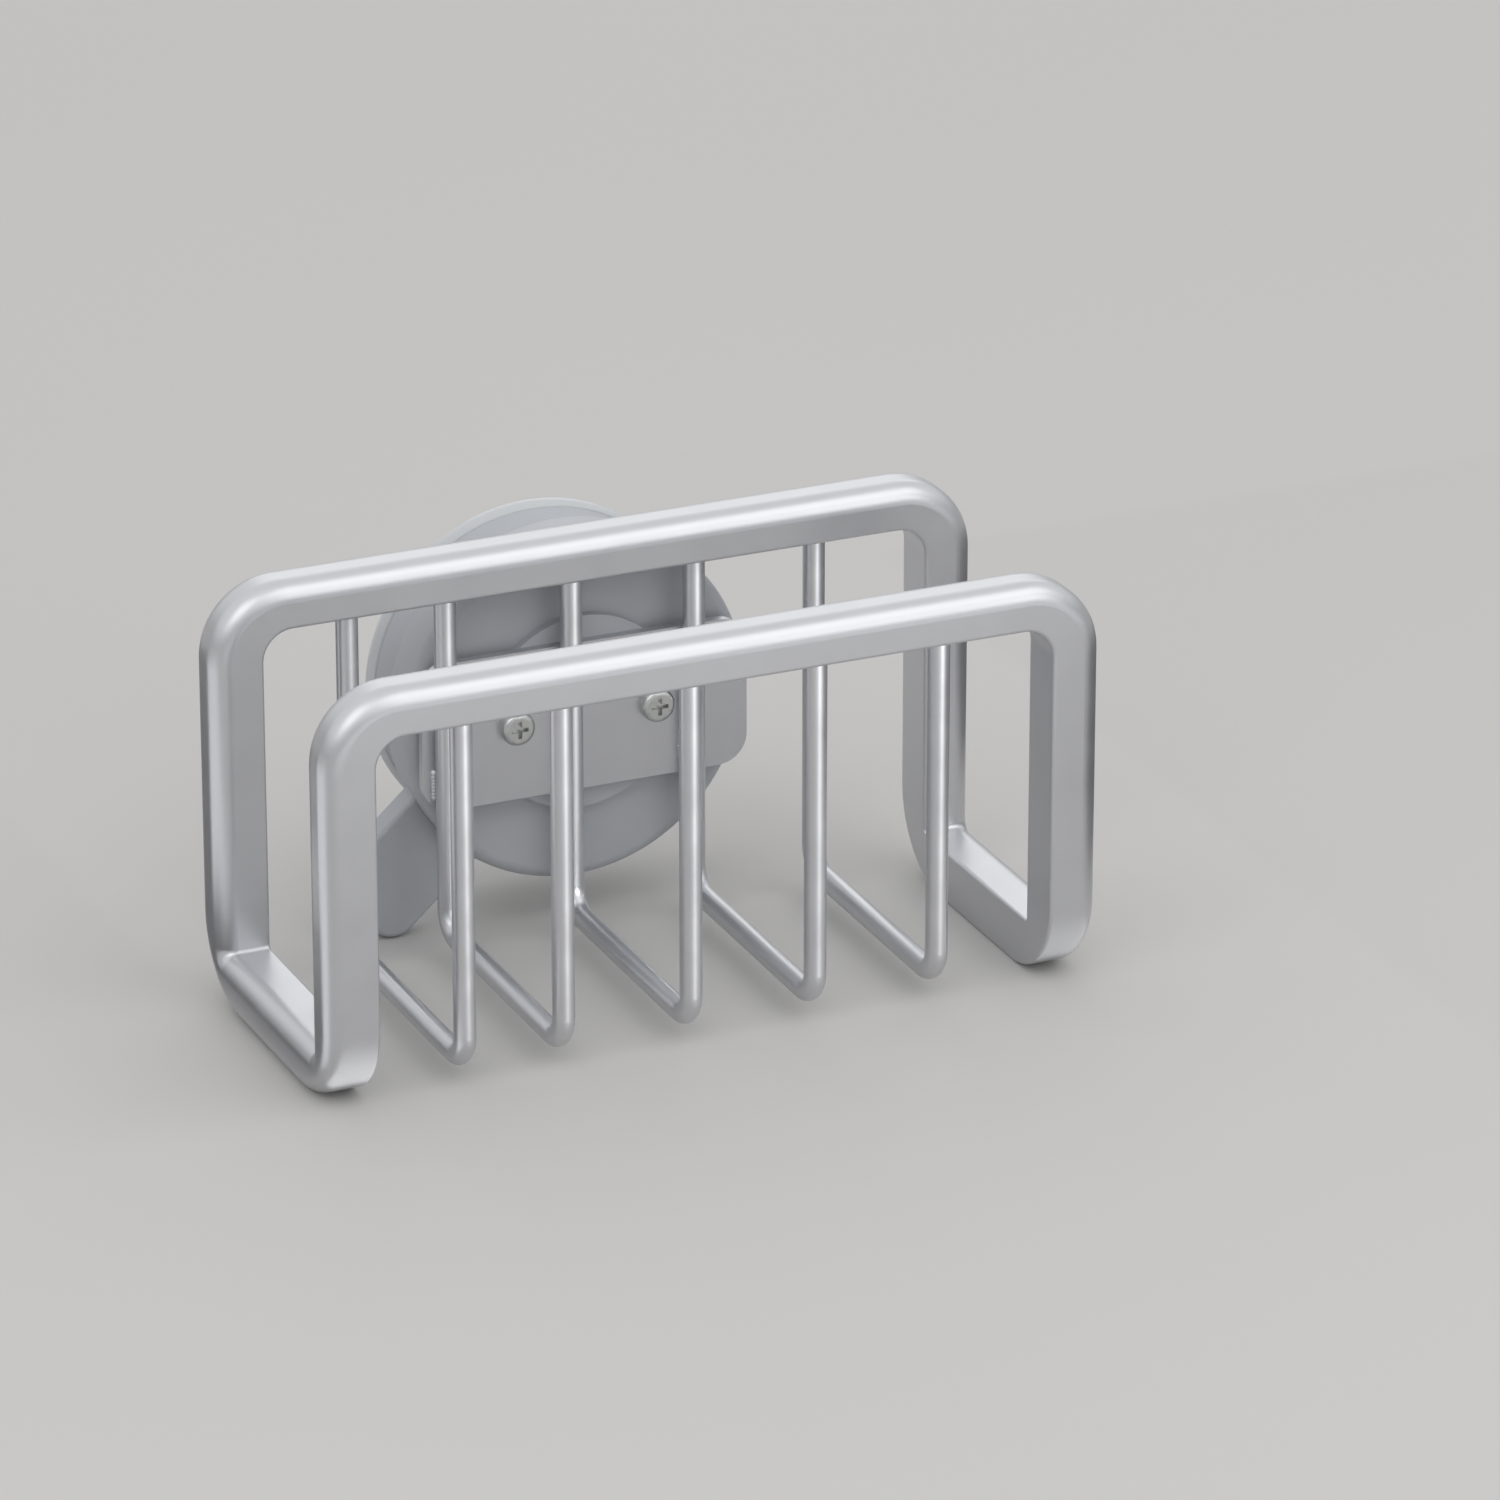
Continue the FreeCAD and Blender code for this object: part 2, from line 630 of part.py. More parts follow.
def screws(label, places, seat, tip, faces_user):
    """Pan-head screws along the mount's axis: heads on their seat, shanks that end at a tip depth."""
    body = new_body(label)
    head_back = seat if faces_user else f"({seat} - screw_head_height)"
    head_front = f"({head_back} + screw_head_height)"
    heads = new_sketch(body, "XZ", head_back)
    draw_circles(heads, "screw_head_radius", places)
    pad(body, heads, "screw_head_height")
    crown = head_front if faces_user else head_back
    fillet(body, "screw_head_round", lambda e: lies_at(e, "Y", f"-{crown}"))
    shank_back, shank_front = (tip, seat) if faces_user else (seat, tip)
    shanks = new_sketch(body, "XZ", shank_back)
    draw_circles(shanks, "screw_radius", places)
    pad(body, shanks, f"{shank_front} - {shank_back}")
    recess = new_sketch(body, "XZ", crown)
    for place in places:
        draw_outline(recess, cross(place))
    pocket(body, recess, "screw_cross_depth", outward=not faces_user)
    return body


def build():
    """Every piece of the holder, in the order of assembly from the basket to the wall."""
    pieces = [arch("front_arch", FRONT_ARCH), arch("rear_arch", REAR_ARCH)]
    pieces += [base_bar("base_bar_left", -1), base_bar("base_bar_right", 1)]
    pieces += [wire(f"wire_{i}", f"wire_{i}_place") for i in range(1, 6)]
    pieces += [mount_plate(), mount_cap(), pressure_bell(), slip_washer(), lock_lever(), lock_nut()]
    pieces += [pull_stud(), stud_clip(), suction_pad()]
    pieces.append(screws("plate_screws", plate_places(), WIRE_BACK, PLATE_BOSS_BACK, True))
    pieces.append(screws("cap_screws", ring_places(), BELL_FLOOR_BACK, CAP_SCREW_TIP, False))
    return pieces


def write(pieces):
    """Stop on any failed feature or bad solid, then write one file for each piece."""
    doc.recompute()
    failed = [f.Name for f in doc.Objects if "Invalid" in f.State or "Error" in f.State]
    if failed:
        raise RuntimeError(f"failed features: {failed}")
    for piece in pieces:
        if piece.Shape.isNull() or not piece.Shape.isValid() or not piece.Shape.Solids:
            raise RuntimeError(f"{piece.Label} is not a good solid")
    os.makedirs("parts", exist_ok=True)
    for piece in pieces:
        piece.Shape.exportStep(f"parts/{piece.Label}.step")
        box = piece.Shape.optimalBoundingBox(False, False)
        print(f"{piece.Label}: {len(piece.Shape.Solids)} solid, {piece.Shape.Volume:.0f} mm3, "
              f"X {box.XMin:.1f} to {box.XMax:.1f}, Y {box.YMin:.1f} to {box.YMax:.1f}, "
              f"Z {box.ZMin:.1f} to {box.ZMax:.1f}")


write(build())
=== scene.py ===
# %% [markdown]
# # A bar-and-wire holder on a suction mount
# This lesson dresses a finished frame of real-size parts: a bar-and-wire basket in satin stainless
# steel, held by a suction mount with a locking lever. The frame brings every rigid piece, so the
# work here is the light, the finishes, the soft cup and the small welds. Everything is in metres,
# with +X to the right, +Y towards the face that the cup grips and +Z up.

# %% Load the frame
import math

import bmesh
import bpy
from mathutils import Matrix, Vector


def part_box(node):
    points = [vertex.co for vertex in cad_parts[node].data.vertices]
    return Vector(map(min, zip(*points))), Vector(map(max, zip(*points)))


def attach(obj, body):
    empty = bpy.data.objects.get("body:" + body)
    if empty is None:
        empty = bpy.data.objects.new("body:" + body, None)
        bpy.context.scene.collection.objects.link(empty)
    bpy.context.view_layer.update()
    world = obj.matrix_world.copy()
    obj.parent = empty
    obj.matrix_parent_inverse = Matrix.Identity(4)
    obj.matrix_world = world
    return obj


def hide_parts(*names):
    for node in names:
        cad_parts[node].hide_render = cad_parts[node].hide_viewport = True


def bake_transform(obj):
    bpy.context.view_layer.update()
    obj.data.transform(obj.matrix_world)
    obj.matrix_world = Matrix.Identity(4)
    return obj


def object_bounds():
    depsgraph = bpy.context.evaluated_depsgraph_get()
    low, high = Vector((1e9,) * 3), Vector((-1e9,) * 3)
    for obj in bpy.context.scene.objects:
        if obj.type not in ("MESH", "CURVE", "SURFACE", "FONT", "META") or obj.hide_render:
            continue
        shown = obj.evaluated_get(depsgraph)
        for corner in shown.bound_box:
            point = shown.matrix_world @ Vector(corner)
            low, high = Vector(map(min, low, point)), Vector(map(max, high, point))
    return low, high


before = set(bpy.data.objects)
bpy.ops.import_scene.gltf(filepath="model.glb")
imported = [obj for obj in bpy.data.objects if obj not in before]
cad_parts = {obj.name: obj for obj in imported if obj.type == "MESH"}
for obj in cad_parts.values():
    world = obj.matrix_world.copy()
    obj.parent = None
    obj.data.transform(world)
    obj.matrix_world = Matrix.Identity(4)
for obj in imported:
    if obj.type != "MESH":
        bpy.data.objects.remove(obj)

MM = 0.001
scene = bpy.context.scene
cad_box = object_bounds()
print("parts in the frame:", len(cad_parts))
print("size in mm:", [round(side / MM, 1) for side in cad_box[1] - cad_box[0]])

# %% [markdown]
# The camera stands high on the left and far away, behind a long lens, so the bars hardly converge.
# A camera can be aimed with a Track To constraint, but here its place and its two angles are known,
# and plain numbers stay exact. The rotation tips the camera up from looking straight down, and then
# turns it to the right.

# %% Camera
CAMERA_EYE = Vector((-528.1, -1286.5, 567.0)) * MM
CAMERA_TURN = math.radians(23.84)
CAMERA_DIP = math.radians(22.74)
LENS_MM, SENSOR_MM = 215.6, 36.0

camera_data = bpy.data.cameras.new("camera")
camera_data.lens = LENS_MM
camera_data.sensor_width = SENSOR_MM
camera = bpy.data.objects.new("camera", camera_data)
camera.location = CAMERA_EYE
camera.rotation_euler = (math.pi / 2 - CAMERA_DIP, 0.0, -CAMERA_TURN)
scene.collection.objects.link(camera)
scene.camera = camera
print("camera distance in mm:", round(CAMERA_EYE.length / MM))

# %% [markdown]
# Materials come from nodes, and two small moves come back in all of them. One function turns an sRGB
# hex colour to the linear values that Blender works in. The other adds a node with its settings and
# links, so that a whole pattern reads as a few lines.

# %% Colours and nodes
def linear(hex_colour):
    """An sRGB hex colour, such as #c8c8c8, as linear RGBA."""
    shares = [int(hex_colour[start:start + 2], 16) / 255 for start in (1, 3, 5)]
    return [s / 12.92 if s <= 0.04045 else ((s + 0.055) / 1.055) ** 2.4 for s in shares] + [1.0]


def add_node(tree, kind, settings, inputs):
    """Add a node. An input, named or numbered, is a plain value or another node's output."""
    node = tree.nodes.new(kind)
    for name, value in settings.items():
        setattr(node, name, value)
    for socket, value in inputs.items():
        if isinstance(value, bpy.types.NodeSocket):
            tree.links.new(value, node.inputs[socket])
        else:
            node.inputs[socket].default_value = value
    return node


print("white in linear light:", linear("#ffffff"))

# %% [markdown]
# Every finish starts the same way: a material with a principled shader, whose even values sit on the
# shader's own sockets, and the Object coordinates that its patterns read. No real surface is the
# same all over, so a second function lets a pattern shift the colour and the gloss together.

# %% Starting a finish
MIX_A, MIX_B, MIX_RESULT = 6, 7, 2   # the colour sockets of a Mix node
WHOLE_RANGE = (0.0, 1.0)
NOISE_RANGE = (0.3, 0.7)             # a noise texture hardly leaves this range


def new_finish(name, even_values):
    """A new material: its node tree, its shader and the place on the object, in metres."""
    material = bpy.data.materials.new(name)
    material.use_nodes = True
    tree = material.node_tree
    shader = tree.nodes["Principled BSDF"]
    for socket, value in even_values.items():
        shader.inputs[socket].default_value = value
    place = add_node(tree, "ShaderNodeTexCoord", {}, {}).outputs["Object"]
    return material, tree, shader, place


def vary(tree, shader, pattern, pattern_range, tints, roughness):
    """Let a pattern carry the colour between two tints, and the roughness between two values."""
    tint = add_node(tree, "ShaderNodeMix", {"data_type": "RGBA"},
                    {"Factor": pattern, MIX_A: linear(tints[0]), MIX_B: linear(tints[1])})
    gloss = add_node(tree, "ShaderNodeMapRange", {},
                     {"Value": pattern, "From Min": pattern_range[0], "From Max": pattern_range[1],
                      "To Min": roughness[0], "To Max": roughness[1]})
    tree.links.new(tint.outputs[MIX_RESULT], shader.inputs["Base Color"])
    tree.links.new(gloss.outputs["Result"], shader.inputs["Roughness"])


print("a noise texture stays between", *NOISE_RANGE)

# %% [markdown]
# The holder stands on its two base bars, so the floor lies at their lowest point. A real studio
# uses a wide sheet of matt paper. One large square does the same work here, and a faint cloud in
# its colour keeps it from looking like an empty screen. The same functions serve for the cards that
# come later.

# %% Floor
FLOOR_HALF_SIDE = 6.0
PAPER_CLOUD = 400 * MM

floor_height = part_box("base_bar_left")[0].z


def matt_sheet(name, tints):
    """A matt finish for the floor and the cards, with a slow faint cloud in it."""
    material, tree, shader, place = new_finish(name, {"Specular IOR Level": 0.2})
    cloud = add_node(tree, "ShaderNodeTexNoise", {}, {"Vector": place, "Scale": 1 / PAPER_CLOUD})
    vary(tree, shader, cloud.outputs["Fac"], NOISE_RANGE, tints, (0.88, 0.92))
    return material


def rectangle(left, right, front, back):
    """The corners of a rectangle on the floor, in metres."""
    return [(left, front), (right, front), (right, back), (left, back)]


def lay_sheet(name, corners, lift, finish):
    """Lay a flat sheet on the floor or a little over it. It isn't part of the object."""
    bm = bmesh.new()
    bmesh.ops.contextual_create(bm, geom=[bm.verts.new((x, y, floor_height + lift)) for x, y in corners])
    mesh = bpy.data.meshes.new(name)
    bm.to_mesh(mesh)
    bm.free()
    mesh.materials.append(finish)
    sheet = bpy.data.objects.new(name, mesh)
    scene.collection.objects.link(sheet)
    return sheet


paper = matt_sheet("matt_studio_paper", ("#bfbebc", "#c3c2c0"))
floor_corners = rectangle(-FLOOR_HALF_SIDE, FLOOR_HALF_SIDE, -FLOOR_HALF_SIDE, FLOOR_HALF_SIDE)
lay_sheet("floor", floor_corners, 0, paper)
print("floor height in mm:", round(floor_height / MM, 2))

# %% [markdown]
# Satin metal has hardly any colour of its own: what the eye reads is the reflected room. Three large
# softboxes light the tops of the rails from above, from the front and from behind, and a key light
# picks out the upper left corners. A small strong light low at the front draws the line down the
# middle of each wire, and light linking keeps it to the wires alone.

# %% Studio light
SOFTBOXES = {                 # place, width and height in metres, and watts
    "overhead_softbox": ((0.38, -0.55, 0.80), 0.90, 0.60, 1.35),
    "fill_softbox": ((0.48, -1.00, 0.36), 0.55, 0.50, 0.9),
    "rear_softbox": ((0.50, 1.10, 0.55), 0.90, 0.60, 0.9),
    "key_softbox": ((-0.55, -0.45, 0.70), 0.60, 0.60, 1.0),
    "wire_softbox": ((0.27, -0.96, 0.02), 0.16, 0.11, 4.8),
}
WIRES = ["wire_1", "wire_2", "wire_3", "wire_4", "wire_5"]

target = (cad_box[0] + cad_box[1]) / 2
for name, (spot, width, height, watts) in SOFTBOXES.items():
    light = bpy.data.lights.new(name, "AREA")
    light.shape = "RECTANGLE"
    light.size, light.size_y = width, height
    light.energy = watts
    softbox = bpy.data.objects.new(name, light)
    softbox.location = spot
    softbox.rotation_euler = (target - Vector(spot)).to_track_quat("-Z", "Y").to_euler()
    softbox.visible_camera = False
    scene.collection.objects.link(softbox)
wires_only = bpy.data.collections.new("wires_only")
for name in WIRES:
    wires_only.objects.link(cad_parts[name])
bpy.data.objects["wire_softbox"].light_linking.receiver_collection = wires_only
print("softboxes:", len(SOFTBOXES))

# %% [markdown]
# The room round the table is plain and pale, and darker near the floor than overhead, as a room is.
# One number for the whole world would do for a matt object, but metal shows the difference. So the
# brightness follows the height of the direction that a ray looks in.

# %% Room
ROOM_LOW, ROOM_HIGH = 0.42, 0.94     # brightness near the floor and overhead
ROOM_RISE = 0.42                     # the height of a direction, of 1, where the full brightness starts

world = bpy.data.worlds.new("studio_room")
world.use_nodes = True
room = world.node_tree
sky = add_node(room, "ShaderNodeTexCoord", {}, {})
up = add_node(room, "ShaderNodeSeparateXYZ", {}, {"Vector": sky.outputs["Generated"]})
level = add_node(room, "ShaderNodeMapRange", {"interpolation_type": "SMOOTHSTEP"},
                 {"Value": up.outputs["Z"], "From Max": ROOM_RISE,
                  "To Min": ROOM_LOW, "To Max": ROOM_HIGH})
room.nodes["Background"].inputs["Color"].default_value = linear("#fafafb")
room.links.new(level.outputs["Result"], room.nodes["Background"].inputs["Strength"])
scene.world = world
scene.view_settings.view_transform = "Standard"
print("room brightness from", ROOM_LOW, "to", ROOM_HIGH)

# %% [markdown]
# The sides of the bars mirror the floor, so a photographer lays cards there, just out of the picture.
# A grey card on each side darkens the outer edges, which would be lost against the pale floor. A
# white one gives the front rail its soft fall of light, and a white wedge beside each left leg draws
# the bright line down it. Only reflections see the cards: the camera doesn't, and they cast no shade.

# %% Cards for the reflections
GREY_LIFT, WHITE_LIFT = 0.5 * MM, 1.0 * MM
WEDGE_STARTS = {"front_arch": 8 * MM, "rear_arch": 45 * MM}    # from the leg to the near end
WEDGE_END = 260 * MM
WEDGE_SIDES = (math.radians(85), math.radians(136))            # turned from the front to the left


def lay_card(name, corners, lift, finish):
    """Lay a sheet that only reflections see."""
    card = lay_sheet(name, corners, lift, finish)
    card.visible_camera = False
    card.visible_diffuse = False
    card.visible_shadow = False


felt = matt_sheet("grey_felt_card", ("#5c5c5d", "#646465"))
board = matt_sheet("white_board_card", ("#f4f4f4", "#f8f8f8"))
lay_card("left_card", rectangle(-0.33, -0.072, -0.072, 0.19), GREY_LIFT, felt)
lay_card("right_card", rectangle(0.115, 0.325, -0.19, 0.11), GREY_LIFT, felt)
lay_card("front_card", rectangle(-0.25, 0.90, -1.30, -0.27), WHITE_LIFT, board)

left_side, rear_side = [Vector((-math.sin(turn), -math.cos(turn))) for turn in WEDGE_SIDES]
for arch, start in WEDGE_STARTS.items():
    low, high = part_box(arch)
    leg = Vector((low.x, (low.y + high.y) / 2))
    wedge = [leg + left_side * start, leg + left_side * WEDGE_END,
             leg + rear_side * WEDGE_END, leg + rear_side * start]
    lay_card(f"{arch}_card", wedge, WHITE_LIFT, board)
print("wedges beside the left legs:", len(WEDGE_STARTS))

# %% [markdown]
# The lower bends mirror the strip of floor right in front of them and under them, which lies in the
# holder's own shade. A photographer lifts such a place with a small card graded from grey to white.
# Here a painted glow stands in for it: the card has the floor's colour and glows more and more
# towards its back end, though it is no lamp, so it paints a bright reflection into the bends, which
# brighten softly on the way down.

# %% Glowing cards under the front feet, painted light for the bends
FOOT_CARDS = {                # left side, right side and glow
    "left_foot_card": (-67.5 * MM, -50.0 * MM, 0.65),
    "right_foot_card": (58.5 * MM, 78.0 * MM, 0.35),
}
FOOT_CARD_FRONT, FOOT_CARD_BACK = -100.0 * MM, -73.5 * MM
# where the painted glow starts and where it reaches full strength, along Y
GLOW_START, GLOW_END = -98.0 * MM, -70.0 * MM

for name, (left, right, glow) in FOOT_CARDS.items():
    glowing, tree, shader, place = new_finish(f"graded_{name}", {
        "Base Color": linear("#c1c0be"), "Roughness": 0.9, "Emission Color": linear("#ffffff")})
    depth = add_node(tree, "ShaderNodeSeparateXYZ", {}, {"Vector": place})
    # Painted light: the emission rises towards the card's back end, and only the bends' reflections show
    # it
    glow_ramp = add_node(tree, "ShaderNodeMapRange", {"interpolation_type": "SMOOTHSTEP"},
                     {"Value": depth.outputs["Y"], "From Min": GLOW_START, "From Max": GLOW_END,
                      "To Max": glow})
    tree.links.new(glow_ramp.outputs["Result"], shader.inputs["Emission Strength"])
    lay_card(name, rectangle(left, right, FOOT_CARD_FRONT, FOOT_CARD_BACK), WHITE_LIFT, glowing)
print("graded cards:", len(FOOT_CARDS))

# %% [markdown]
# The basket's bars and wires are stainless steel, blasted with fine glass beads and then
# electropolished. Blasting leaves tiny even dents with no direction, and polishing melts their
# crests, so the eye sees a soft grey sheen without brush lines. A metal needs its colour, a middle
# roughness and a very low bump. Slow clouds in the roughness keep long bars from looking computed.

# %% Blasted and polished stainless steel
BLAST_GRAIN = 0.4 * MM       # real dents are near 0.05 mm, too fine to show, so they are drawn coarser
BLAST_DEPTH = 0.002 * MM
POLISH_CLOUD = 7 * MM

steel, tree, shader, place = new_finish("stainless_blasted_electropolished", {"Metallic": 1.0})
cloud = add_node(tree, "ShaderNodeTexNoise", {},
                 {"Vector": place, "Scale": 1 / POLISH_CLOUD, "Detail": 3.0})
vary(tree, shader, cloud.outputs["Fac"], NOISE_RANGE, ("#cbccd0", "#d1d2d4"), (0.34, 0.39))
grain = add_node(tree, "ShaderNodeTexNoise", {},
                 {"Vector": place, "Scale": 1 / BLAST_GRAIN, "Detail": 2.0})
dents = add_node(tree, "ShaderNodeBump", {},
                 {"Height": grain.outputs["Fac"], "Strength": 0.3, "Distance": BLAST_DEPTH})
tree.links.new(dents.outputs["Normal"], shader.inputs["Normal"])
print("steel grain in mm:", BLAST_GRAIN / MM)

# %% [markdown]
# The cap, the bell and the lever are moulded in a light grey plastic. The mould is spark-eroded, so
# every outer face carries a fine matt texture that hides scratches. Noise at the size of the sparks
# serves as the bump, and a slow cloud shifts the colour and the gloss where hands have rubbed it.

# %% Moulded grey plastic
SPARK_GRAIN = 0.45 * MM      # real sparks leave pits near 0.1 mm, so they are drawn coarser
SPARK_DEPTH = 0.012 * MM
HANDLING_CLOUD = 11 * MM

plastic, tree, shader, place = new_finish("abs_moulded_spark_texture", {"IOR": 1.53})
cloud = add_node(tree, "ShaderNodeTexNoise", {}, {"Vector": place, "Scale": 1 / HANDLING_CLOUD})
vary(tree, shader, cloud.outputs["Fac"], NOISE_RANGE, ("#a9acb1", "#b4b7bc"), (0.42, 0.52))
grain = add_node(tree, "ShaderNodeTexNoise", {},
                 {"Vector": place, "Scale": 1 / SPARK_GRAIN, "Detail": 2.0})
sparks = add_node(tree, "ShaderNodeBump", {},
                  {"Height": grain.outputs["Fac"], "Strength": 0.5, "Distance": SPARK_DEPTH})
tree.links.new(sparks.outputs["Normal"], shader.inputs["Normal"])
print("plastic grain in mm:", SPARK_GRAIN / MM)

# %% [markdown]
# The suction cup is a soft clear-grey elastomer, smooth from a polished mould. Light goes a little
# way in and comes out again, so its thin lip looks paler than its thick hub. A share of subsurface
# scattering with a radius near two millimetres gives that, and a slow faint cloud breaks the gloss
# as a trace of water film would.

# %% Soft elastomer
SCATTER_RADIUS = 2.0 * MM
FILM_CLOUD = 9 * MM

elastomer, tree, shader, place = new_finish("elastomer_soft_polished_mould", {
    "IOR": 1.43, "Subsurface Weight": 0.35, "Subsurface Scale": SCATTER_RADIUS,
    "Subsurface Radius": (1.0, 1.0, 1.0)})
cloud = add_node(tree, "ShaderNodeTexNoise", {},
                 {"Vector": place, "Scale": 1 / FILM_CLOUD, "Detail": 2.0})
vary(tree, shader, cloud.outputs["Fac"], NOISE_RANGE, ("#bfc2c5", "#c3c6c8"), (0.18, 0.24))
print("light travels in the cup, in mm:", SCATTER_RADIUS / MM)

# %% [markdown]
# The slip washer between the lever and the bell is stamped from acetal sheet, which is waxy and
# nearly white, and lets a little light in. The rolled sheet has a faint even grain, so one noise
# texture of that size shifts its colour and its gloss.

# %% Stamped acetal
SHEET_GRAIN = 0.8 * MM
WAX_DEPTH = 0.5 * MM         # how far light goes into it

acetal, tree, shader, place = new_finish("acetal_stamped_sheet", {
    "IOR": 1.48, "Subsurface Weight": 0.15, "Subsurface Scale": WAX_DEPTH})
grain = add_node(tree, "ShaderNodeTexNoise", {}, {"Vector": place, "Scale": 1 / SHEET_GRAIN})
vary(tree, shader, grain.outputs["Fac"], WHOLE_RANGE, ("#e6e4de", "#efeeea"), (0.35, 0.5))
print("acetal grain in mm:", SHEET_GRAIN / MM)

# %% [markdown]
# The lock nut is turned from a brass bar, and the tool leaves fine rings about the lever's axis. An
# image could carry such rings, but a wave texture draws them at any distance, and both the colour
# and the gloss follow it.

# %% Turned brass
TURNING_PITCH = 0.25 * MM    # the tool's feed on each turn, drawn a little coarser than the real 0.1 mm
RINGS_PER_SCALE = 20 / (2 * math.pi)   # a wave texture shows this many rings in one unit at a scale of 1

brass, tree, shader, place = new_finish("brass_turned", {"Metallic": 1.0})
rings = add_node(tree, "ShaderNodeTexWave", {"wave_type": "RINGS", "rings_direction": "Y"},
                 {"Vector": place, "Scale": 1 / (TURNING_PITCH * RINGS_PER_SCALE)})
vary(tree, shader, rings.outputs["Fac"], WHOLE_RANGE, ("#c9a24e", "#dcb968"), (0.2, 0.32))
print("turning pitch in mm:", TURNING_PITCH / MM)

# %% [markdown]
# The stud and the screws are steel with a thin coat of zinc. The coat grows in small patches, which
# give it a faint bloom from cool grey to warm grey. Smooth Voronoi cells of the patches' size look
# like that, because each fades into the next.

# %% Zinc-plated steel
BLOOM_PATCH = 1.2 * MM

zinc, tree, shader, place = new_finish("steel_zinc_plated", {"Metallic": 1.0})
bloom = add_node(tree, "ShaderNodeTexVoronoi", {"feature": "SMOOTH_F1"},
                 {"Vector": place, "Scale": 1 / BLOOM_PATCH, "Smoothness": 0.6})
vary(tree, shader, bloom.outputs["Distance"], WHOLE_RANGE, ("#c3c6c8", "#d3d3cd"), (0.26, 0.4))
print("zinc patches in mm:", BLOOM_PATCH / MM)

# %% [markdown]
# The clip on the stud's end is spring steel, dark from hardening, with a film of oil on it. The film
# is thicker in some places than in others, so a cloud of noise takes the gloss up and down.

# %% Oiled spring steel
OIL_CLOUD = 1.5 * MM

spring, tree, shader, place = new_finish("spring_steel_oiled", {"Metallic": 1.0})
oil = add_node(tree, "ShaderNodeTexNoise", {}, {"Vector": place, "Scale": 1 / OIL_CLOUD})
vary(tree, shader, oil.outputs["Fac"], WHOLE_RANGE, ("#6a6663", "#85807b"), (0.25, 0.45))
print("oil clouds in mm:", OIL_CLOUD / MM)

# %% [markdown]
# Every rigid piece keeps its own mesh and only takes a finish. The frame arrives with one plain
# material slot per piece, so the finish goes into that slot and the shape is left alone.

# %% Finishes on the rigid pieces
FINISH_PIECES = {
    steel: ["front_arch", "rear_arch", "base_bar_left", "base_bar_right", "mount_plate", *WIRES],
    plastic: ["mount_cap", "pressure_bell", "lock_lever"],
    acetal: ["slip_washer"],
    brass: ["lock_nut"],
    zinc: ["pull_stud", "plate_screws", "cap_screws"],
    spring: ["stud_clip"],
}
for finish, names in FINISH_PIECES.items():
    for name in names:
        for material_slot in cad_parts[name].material_slots:
            material_slot.material = finish
    print(finish.name, "on", len(names), "pieces")

# %% [markdown]
# The suction cup is the one soft piece: a lip that lies on the mounting face, with two fine grooves
# that help it seal, a shallow hollow that holds the vacuum, and a hub moulded round the stud's head.
# It is round about the stud, so half of its section says everything. A workshop drawing gives such a
# section as a few corners with their roundings, and so does this list.

# %% Section of the suction cup
LIP_RADIUS, LIP_EDGE = 29.5, 0.9
HOLLOW_RADIUS, HOLLOW_FLAT, HOLLOW_DEPTH = 20.5, 8.0, 4.6
GROOVE_RADII, GROOVE_HALF, GROOVE_DEPTH = (23.2, 26.2), 0.6, 0.45
GROOVE_EDGE_ROUND, GROOVE_FLOOR_ROUND = 0.12, 0.3
RIM_OUTER, RIM_INNER, RIM_DEPTH = 28.8, 24.9, 2.5
HUB_RADIUS, HUB_DEPTH, WEB_DEPTH = 10.0, 9.2, 7.0
NECK_RADIUS, HEAD_RADIUS, HEAD_BACK, HEAD_FRONT = 4.43, 8.05, 5.75, 7.45

cup_grooves = []
for radius in GROOVE_RADII:
    cup_grooves += [(radius - GROOVE_HALF, 0.0, GROOVE_EDGE_ROUND),
                    (radius, GROOVE_DEPTH, GROOVE_FLOOR_ROUND),
                    (radius + GROOVE_HALF, 0.0, GROOVE_EDGE_ROUND)]
cup_section = [               # radius, depth from the mounting face and corner rounding, in mm
    (0.0, HOLLOW_DEPTH, 0.0), (HOLLOW_FLAT, HOLLOW_DEPTH, 3.0), (HOLLOW_RADIUS, 0.0, 0.6),
    *cup_grooves,
    (LIP_RADIUS, 0.0, 0.3), (LIP_RADIUS, LIP_EDGE, 0.35), (RIM_OUTER, RIM_DEPTH, 0.3),
    (RIM_INNER, RIM_DEPTH, 1.2), (HUB_RADIUS, WEB_DEPTH, 1.2), (HUB_RADIUS, HUB_DEPTH, 0.5),
    (NECK_RADIUS, HUB_DEPTH, 0.3), (NECK_RADIUS, HEAD_FRONT, 0.0), (HEAD_RADIUS, HEAD_FRONT, 0.0),
    (HEAD_RADIUS, HEAD_BACK, 0.0), (0.0, HEAD_BACK, 0.0),
]
print("corners in the cup's section:", len(cup_section))

# %% [markdown]
# A full turn of the section about the stud makes the cup. A vertex bevel first rounds the corners
# that a mould would round, because one rounded corner then becomes a whole rounded edge. The spin
# merges its last step with its first, the points on the axis are merged too, and then the normals
# are turned outwards. The last steps are the same for every new piece, so one function does them.

# %% Suction cup
CUP_STEPS = 128
CORNER_SEGMENTS = 6
MERGE_DISTANCE = 0.001 * MM


def new_piece(name, bm, finish):
    """Turn a bmesh into a smooth-shaded piece with its finish, linked into the scene."""
    mesh = bpy.data.meshes.new(name)
    bm.to_mesh(mesh)
    bm.free()
    mesh.shade_smooth()
    mesh.materials.append(finish)
    piece = bpy.data.objects.new(name, mesh)
    scene.collection.objects.link(piece)
    print(name, "has", len(mesh.polygons), "faces")
    return piece


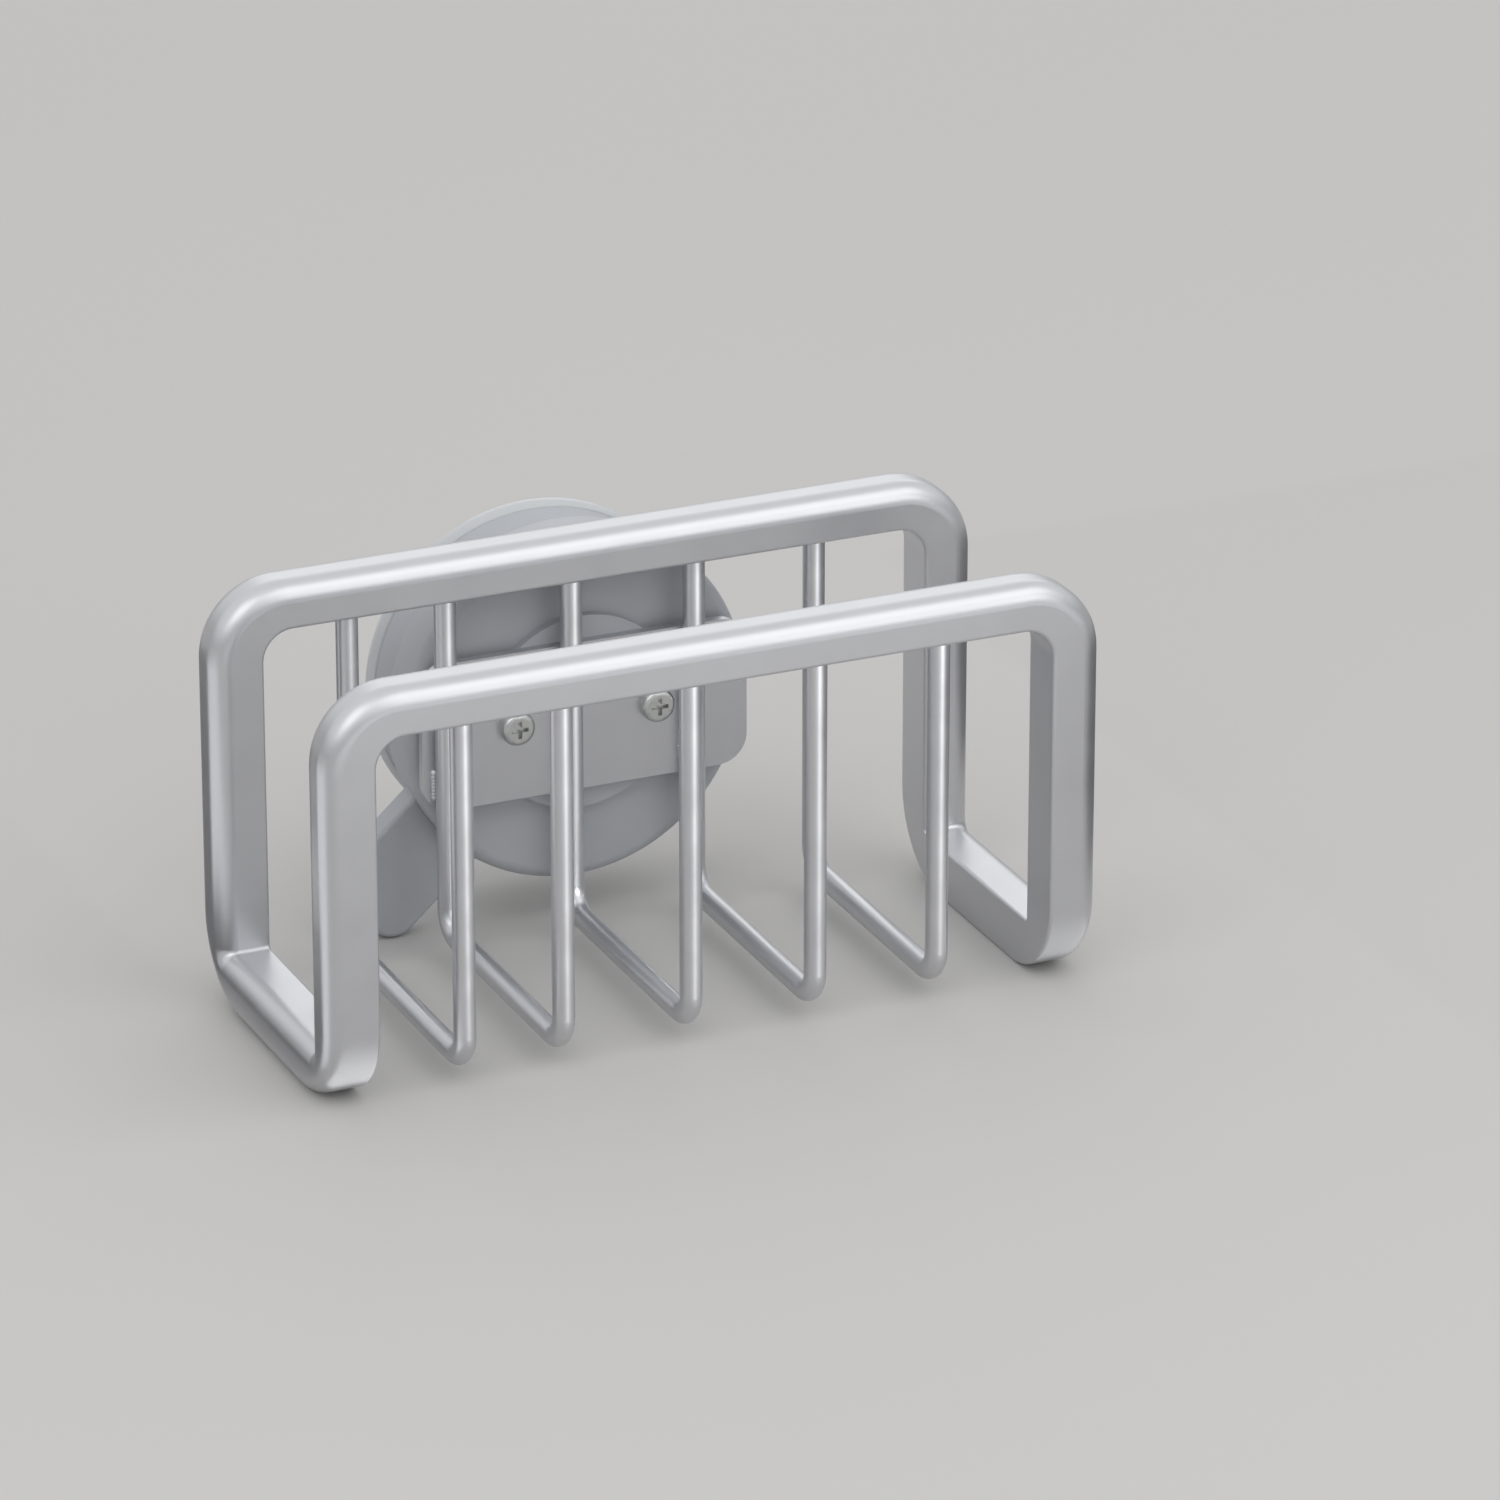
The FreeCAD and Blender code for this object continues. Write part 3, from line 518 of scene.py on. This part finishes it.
bm = bmesh.new()
corners = [bm.verts.new((radius * MM, -depth * MM, 0)) for radius, depth, rounding in cup_section]
for start, end in zip(corners, corners[1:]):
    bm.edges.new((start, end))
for corner, (radius, depth, rounding) in zip(corners, cup_section):
    if rounding:
        bmesh.ops.bevel(bm, geom=[corner], offset=rounding * MM, affect="VERTICES",
                        segments=CORNER_SEGMENTS, profile=0.5, material=-1)
bmesh.ops.spin(bm, geom=bm.verts[:] + bm.edges[:], cent=(0, 0, 0), axis=(0, 1, 0),
               angle=2 * math.pi, steps=CUP_STEPS, use_merge=True)
bmesh.ops.remove_doubles(bm, verts=bm.verts, dist=MERGE_DISTANCE)
bmesh.ops.recalc_face_normals(bm, faces=bm.faces)
cup = new_piece("suction_cup", bm, elastomer)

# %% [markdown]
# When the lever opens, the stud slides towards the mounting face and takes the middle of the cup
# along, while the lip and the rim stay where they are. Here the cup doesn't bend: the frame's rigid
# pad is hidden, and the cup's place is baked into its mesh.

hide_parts("suction_pad")
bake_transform(cup)

# %% [markdown]
# Each wire ends under a rail, where a weld runs round it and is dressed to a small hollow fillet.
# The fillet's section is a bracket whose inner corner is rounded by a vertex bevel, and a full spin
# about the wire makes it a ring. One ring is modelled and then duplicated to the other wire ends,
# because they are all alike. All ten make one piece.

# %% Welds at the wire ends
WELD_REACH = 0.5 * MM        # how far the fillet spreads along the wire and the rail
WELD_BITE = 0.1 * MM         # how far it sinks into both
WELD_HOLLOW = 0.95           # the share of the reach that the hollow takes
WELD_STEPS = 32
WELD_ARC_SEGMENTS = 5

wire_low, wire_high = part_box(WIRES[0])
wire_radius = (wire_high.x - wire_low.x) / 2
wire_ends = []
for name in WIRES:
    low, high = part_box(name)
    for run in (low.y + wire_radius, high.y - wire_radius):
        wire_ends.append(Vector(((low.x + high.x) / 2, run, high.z)))

inner, outer = wire_radius - WELD_BITE, wire_radius + WELD_REACH
bm = bmesh.new()
bracket = [(inner, WELD_BITE), (outer, WELD_BITE), (outer, 0), (wire_radius, 0),
           (wire_radius, -WELD_REACH), (inner, -WELD_REACH)]
corners = [bm.verts.new(wire_ends[0] + Vector((radius, 0, height))) for radius, height in bracket]
inner_corner = corners[3]    # where the wire meets the rail
for start, end in zip(corners, corners[1:] + corners[:1]):
    bm.edges.new((start, end))
bmesh.ops.bevel(bm, geom=[inner_corner], offset=WELD_HOLLOW * WELD_REACH, affect="VERTICES",
                segments=WELD_ARC_SEGMENTS, profile=0.5, material=-1)
bmesh.ops.spin(bm, geom=bm.verts[:] + bm.edges[:], cent=wire_ends[0], axis=(0, 0, 1),
               angle=2 * math.pi, steps=WELD_STEPS, use_merge=True)
bmesh.ops.recalc_face_normals(bm, faces=bm.faces)
ring = bm.verts[:] + bm.edges[:] + bm.faces[:]
for wire_end in wire_ends[1:]:
    copy = bmesh.ops.duplicate(bm, geom=ring)
    moved = [part for part in copy["geom"] if isinstance(part, bmesh.types.BMVert)]
    bmesh.ops.translate(bm, verts=moved, vec=wire_end - wire_ends[0])
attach(new_piece("wire_end_welds", bm, steel), "basket")

# %% [markdown]
# The steel plate that carries the mount lies against the backs of the three middle wires. Short
# runs of weld hold it, one on each side of a wire, high and low. A hand-made run is a row of small
# overlapping pools, so it is modelled as one: flattened spheres, set along the crease between the
# wire and the plate.

# %% Welds on the mount plate
POOL_RADIUS = 0.8 * MM
POOL_PITCH = 0.6 * MM
POOLS_IN_RUN = 8
POOL_SEGMENTS, POOL_RINGS = 14, 8
POOL_FLATTENED = Matrix.Diagonal((1.0, 0.75, 0.9, 1.0))
RUN_FROM_EDGE = 5.0 * MM     # from the plate's edge to the middle of a run
CREASE = 1.45 * MM           # from the wire's centre line to the middle of a run

plate_low, plate_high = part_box("mount_plate")
bm = bmesh.new()
for name in WIRES:
    low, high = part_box(name)
    wire_place = (low.x + high.x) / 2
    if not plate_low.x < wire_place < plate_high.x:
        continue
    for side in (-1, 1):
        for run_middle in (plate_low.z + RUN_FROM_EDGE, plate_high.z - RUN_FROM_EDGE):
            for pool in range(POOLS_IN_RUN):
                height = run_middle + (pool - (POOLS_IN_RUN - 1) / 2) * POOL_PITCH
                spot = Vector((wire_place + side * CREASE, plate_low.y, height))
                bmesh.ops.create_uvsphere(bm, u_segments=POOL_SEGMENTS, v_segments=POOL_RINGS,
                                          radius=POOL_RADIUS,
                                          matrix=Matrix.Translation(spot) @ POOL_FLATTENED)
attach(new_piece("plate_welds", bm, steel), "basket")
